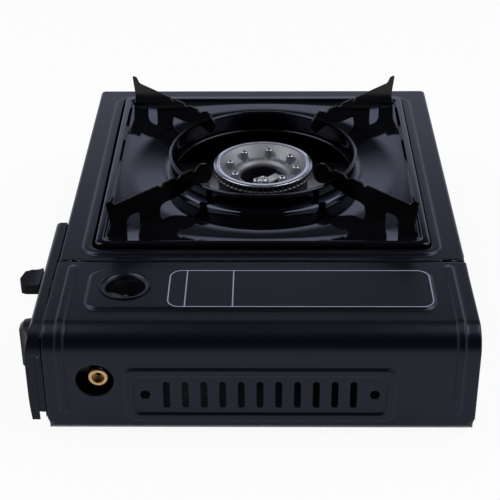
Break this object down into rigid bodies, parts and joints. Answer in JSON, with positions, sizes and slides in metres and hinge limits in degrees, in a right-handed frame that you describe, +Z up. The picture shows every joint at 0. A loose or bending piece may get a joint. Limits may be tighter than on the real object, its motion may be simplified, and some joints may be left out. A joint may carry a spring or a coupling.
{
  "type": "portable cassette stove",
  "caption": "Flat portable gas stove with a lift-off drip pan and wind collar, pan supports, a ring burner and a side bay under a hinged lid for a gas cartridge.",
  "frame": {"origin": "centre of the footprint, on the plane the feet stand on", "axes": "+X from the far end wall towards the cartridge lid, -Y towards the knob and the lock lever, +Z up"},
  "size_m": [0.3446, 0.2828, 0.1006],
  "materials": {
    "shell_paint": "satin",
    "lid_paint": "satin",
    "panel_paint": "satin",
    "pan_enamel": "gloss enamel",
    "arm_enamel": "gloss enamel",
    "galvanised": "galvanised",
    "plated": "zinc plated",
    "cast_crown": "cast, machined rim",
    "cast_body": "die cast",
    "tube_steel": "bare",
    "brass": "turned",
    "knob_plastic": "moulded",
    "igniter_plastic": "moulded",
    "lead_rubber": "silicone sleeve",
    "ceramic": "glazed ceramic"
  },
  "bodies": {
    "case": {"top_shell": "shell_paint", "base_tray": "galvanised", "partition": "galvanised", "shelf": "galvanised", "burner_stand": "galvanised", "burner_crown": "cast_crown", "gas_chamber": "cast_body", "burner_strap": "plated", "burner_screw": "plated", "mixing_tube": "tube_steel", "hinge_pins": "plated", "front_panel": "panel_paint", "pusher_guides": "plated", "valve_block": "cast_body", "regulator": "plated", "regulator_screws": "plated", "cartridge_socket": "brass", "hose_inlet": "brass", "gas_jet": "brass", "igniter": "igniter_plastic", "ignition_lead": "lead_rubber", "electrode": "ceramic", "electrode_bracket": "galvanised", "guide_plate": "plated", "base_screws": "plated", "valve_screws": "plated"},
    "lid": {"cartridge_lid": "lid_paint"},
    "pan": {"drip_pan": "pan_enamel", "wind_collar": "pan_enamel", "support_arm_1": "arm_enamel", "support_arm_2": "arm_enamel", "support_arm_3": "arm_enamel", "support_arm_4": "arm_enamel"},
    "knob": {"control_knob": "knob_plastic", "valve_spindle": "brass"},
    "lever": {"lever_plate": "plated", "lever_tab": "knob_plastic"},
    "pusher": {"cartridge_pusher": "plated"}
  },
  "joints": [
    {"name": "lid_hinge", "type": "hinge", "parent": "case", "child": "lid", "pos_m": [0.0935, 0.0121, 0.0694], "axis": [0, -1, 0], "range_deg": [0, 100]},
    {"name": "pan_lift", "type": "slide", "parent": "case", "child": "pan", "axis": [0, 0, 1], "range_m": [0, 0.06]},
    {"name": "knob_turn", "type": "hinge", "parent": "case", "child": "knob", "pos_m": [0.13675, -0.1279, 0.0422], "axis": [0, -1, 0], "range_deg": [0, 120]},
    {"name": "lever_press", "type": "slide", "parent": "case", "child": "lever", "axis": [0, 0, -1], "range_m": [0, 0.016]},
    {"name": "pusher_slide", "type": "slide", "parent": "case", "child": "pusher", "axis": [0, -1, 0], "range_m": [0, 0.007]}
  ],
  "couplings": [
    {"joint": "pusher_slide", "follows": "lever_press", "ratio": 0.4375}
  ]
}
